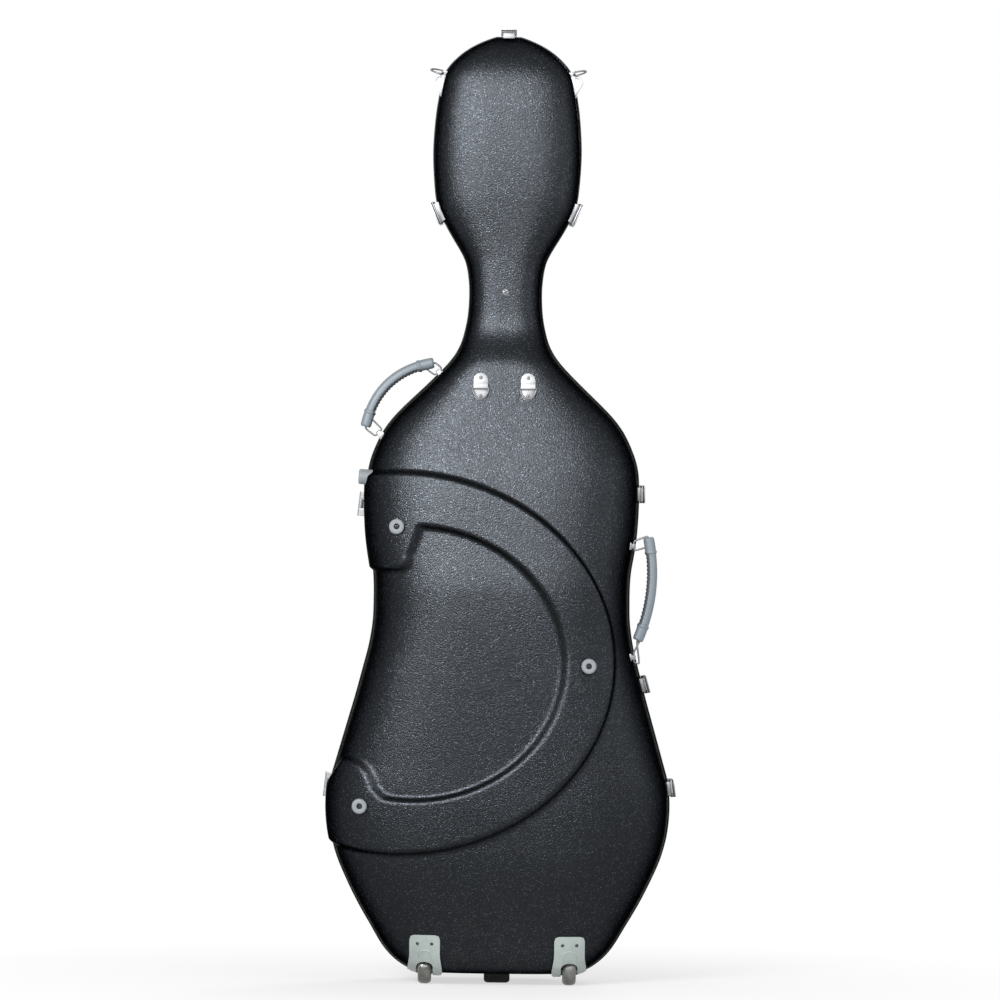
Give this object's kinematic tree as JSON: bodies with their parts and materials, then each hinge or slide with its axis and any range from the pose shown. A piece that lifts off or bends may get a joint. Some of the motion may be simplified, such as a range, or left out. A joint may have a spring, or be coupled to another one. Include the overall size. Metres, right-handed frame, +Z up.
{
  "type": "cello case",
  "caption": "Hard moulded cello case on two wheels with a hinged lid, draw latches, two carrying handles, strap rings and a raised C-shaped relief on its back.",
  "frame": {"origin": "centre of the flat underside of the rubber foot under the back shell, on the floor that the case stands on", "axes": "+Z up along the case to its head, +Y from the back shell towards the lid, +X to the right as seen from behind the case"},
  "size_m": [0.5193, 0.2905, 1.3997],
  "materials": {
    "shell": "black moulded shell with a fine speckled grain",
    "rim": "smooth black edging",
    "lining": "dark grey plush over foam",
    "cradle": "plush-covered pad",
    "webbing": "woven black strap",
    "grey_rubber": "light grey moulded rubber",
    "black_rubber": "black rubber",
    "housing": "pale grey-green moulded plastic",
    "wheel": "smoky translucent polyurethane",
    "grip": "blue-grey moulded grip",
    "wire": "bright steel wire and eyes",
    "fitting": "nickel-plated steel",
    "clip": "grey moulded turn-button"
  },
  "bodies": {
    "case": {"back_shell": "shell", "back_rim": "rim", "back_lining": "lining", "wheel_housing_left": "housing", "wheel_housing_right": "housing", "base_foot": "black_rubber", "back_foot_upper": "grey_rubber", "back_foot_middle": "grey_rubber", "back_foot_lower": "grey_rubber", "side_foot": "grey_rubber", "latch_keeper_top": "fitting", "latch_keeper_head_left": "fitting", "latch_keeper_head_right": "fitting", "latch_keeper_upper": "fitting", "latch_keeper_waist": "fitting", "latch_keeper_lower": "fitting", "hinge_back_leaf_lower": "fitting", "hinge_back_leaf_upper": "fitting", "handle_eye_left_lower": "wire", "handle_eye_left_upper": "wire", "handle_eye_right_lower": "wire", "handle_eye_right_upper": "wire", "strap_plate_left": "fitting", "strap_plate_right": "fitting", "head_bracket_left": "fitting", "head_bracket_right": "fitting", "neck_cradle": "cradle", "neck_strap": "webbing"},
    "lid": {"front_shell": "shell", "front_rim": "rim", "front_lining": "lining", "lid_foot": "black_rubber", "hinge_lid_leaf_lower": "fitting", "hinge_lid_leaf_upper": "fitting", "latch_base_top": "fitting", "latch_base_head_left": "fitting", "latch_base_head_right": "fitting", "latch_base_upper": "fitting", "latch_base_waist": "fitting", "latch_base_lower": "fitting"},
    "lever_top": {"latch_lever_top": "fitting"},
    "lever_head_left": {"latch_lever_head_left": "fitting"},
    "lever_head_right": {"latch_lever_head_right": "fitting"},
    "lever_upper": {"latch_lever_upper": "fitting"},
    "lever_waist": {"latch_lever_waist": "fitting"},
    "lever_lower": {"latch_lever_lower": "fitting"},
    "handle_left": {"grip_left": "grip", "grip_loop_left_lower": "wire", "grip_loop_left_upper": "wire"},
    "strap_ring_left": {"strap_ring_left": "fitting"},
    "head_ring_left": {"head_ring_left": "fitting"},
    "wheel_left": {"wheel_left": "wheel"},
    "bow_clip_left": {"bow_clip_left": "clip"},
    "handle_right": {"grip_right": "grip", "grip_loop_right_lower": "wire", "grip_loop_right_upper": "wire"},
    "strap_ring_right": {"strap_ring_right": "fitting"},
    "head_ring_right": {"head_ring_right": "fitting"},
    "wheel_right": {"wheel_right": "wheel"},
    "bow_clip_right": {"bow_clip_right": "clip"}
  },
  "joints": [
    {"name": "lid_hinge", "type": "hinge", "parent": "case", "child": "lid", "pos_m": [-0.25427, 0.021, 0.28703], "axis": [0.1088, 0, 0.9941], "range_deg": [0, 105]},
    {"name": "latch_top", "type": "hinge", "parent": "lid", "child": "lever_top", "pos_m": [0, 0.048, 1.3945], "axis": [-1, 0, 0], "range_deg": [0, 110]},
    {"name": "latch_head_left", "type": "hinge", "parent": "lid", "child": "lever_head_left", "pos_m": [-0.1016, 0.048, 1.12878], "axis": [0.3964, 0, -0.9181], "range_deg": [0, 110]},
    {"name": "latch_head_right", "type": "hinge", "parent": "lid", "child": "lever_head_right", "pos_m": [0.1016, 0.048, 1.12878], "axis": [0.3964, 0, 0.9181], "range_deg": [0, 110]},
    {"name": "latch_upper", "type": "hinge", "parent": "lid", "child": "lever_upper", "pos_m": [0.20367, 0.048, 0.71904], "axis": [-0.0078, 0, 1], "range_deg": [0, 110]},
    {"name": "latch_waist", "type": "hinge", "parent": "lid", "child": "lever_waist", "pos_m": [0.21208, 0.048, 0.43948], "axis": [-0.2647, 0, 0.9643], "range_deg": [0, 110]},
    {"name": "latch_lower", "type": "hinge", "parent": "lid", "child": "lever_lower", "pos_m": [0.25301, 0.048, 0.28774], "axis": [-0.1322, 0, 0.9912], "range_deg": [0, 110]},
    {"name": "handle_left", "type": "hinge", "parent": "case", "child": "handle_left", "pos_m": [-0.18346, -0.009, 0.8045], "axis": [0.6908, 0, 0.723], "range_deg": [-60, 60]},
    {"name": "handle_right", "type": "hinge", "parent": "case", "child": "handle_right", "pos_m": [0.19429, -0.037, 0.48], "axis": [-0.0124, 0, 0.9999], "range_deg": [-50, 50]},
    {"name": "strap_ring_left", "type": "hinge", "parent": "case", "child": "strap_ring_left", "pos_m": [-0.0346, -0.07436, 0.87364], "axis": [-1, 0, 0], "range_deg": [0, 165]},
    {"name": "strap_ring_right", "type": "hinge", "parent": "case", "child": "strap_ring_right", "pos_m": [0.0346, -0.07436, 0.87364], "axis": [-1, 0, 0], "range_deg": [0, 165]},
    {"name": "head_ring_left", "type": "hinge", "parent": "case", "child": "head_ring_left", "pos_m": [-0.09615, 0.001, 1.3348], "axis": [0.0573, 0.9394, 0.3381], "range_deg": [0, 80]},
    {"name": "head_ring_right", "type": "hinge", "parent": "case", "child": "head_ring_right", "pos_m": [0.09615, 0.001, 1.3348], "axis": [0.0573, -0.9394, -0.3381], "range_deg": [0, 80]},
    {"name": "wheel_left", "type": "hinge", "parent": "case", "child": "wheel_left", "pos_m": [-0.1056, -0.0485, 0.0215], "axis": [1, 0, 0], "continuous": true},
    {"name": "wheel_right", "type": "hinge", "parent": "case", "child": "wheel_right", "pos_m": [0.1056, -0.0485, 0.0215], "axis": [1, 0, 0], "continuous": true},
    {"name": "bow_clip_left", "type": "hinge", "parent": "lid", "child": "bow_clip_left", "pos_m": [-0.062, 0.1334, 0.64], "axis": [0, 1, 0], "range_deg": [-90, 90]},
    {"name": "bow_clip_right", "type": "hinge", "parent": "lid", "child": "bow_clip_right", "pos_m": [0.062, 0.1334, 0.64], "axis": [0, 1, 0], "range_deg": [-90, 90]}
  ]
}
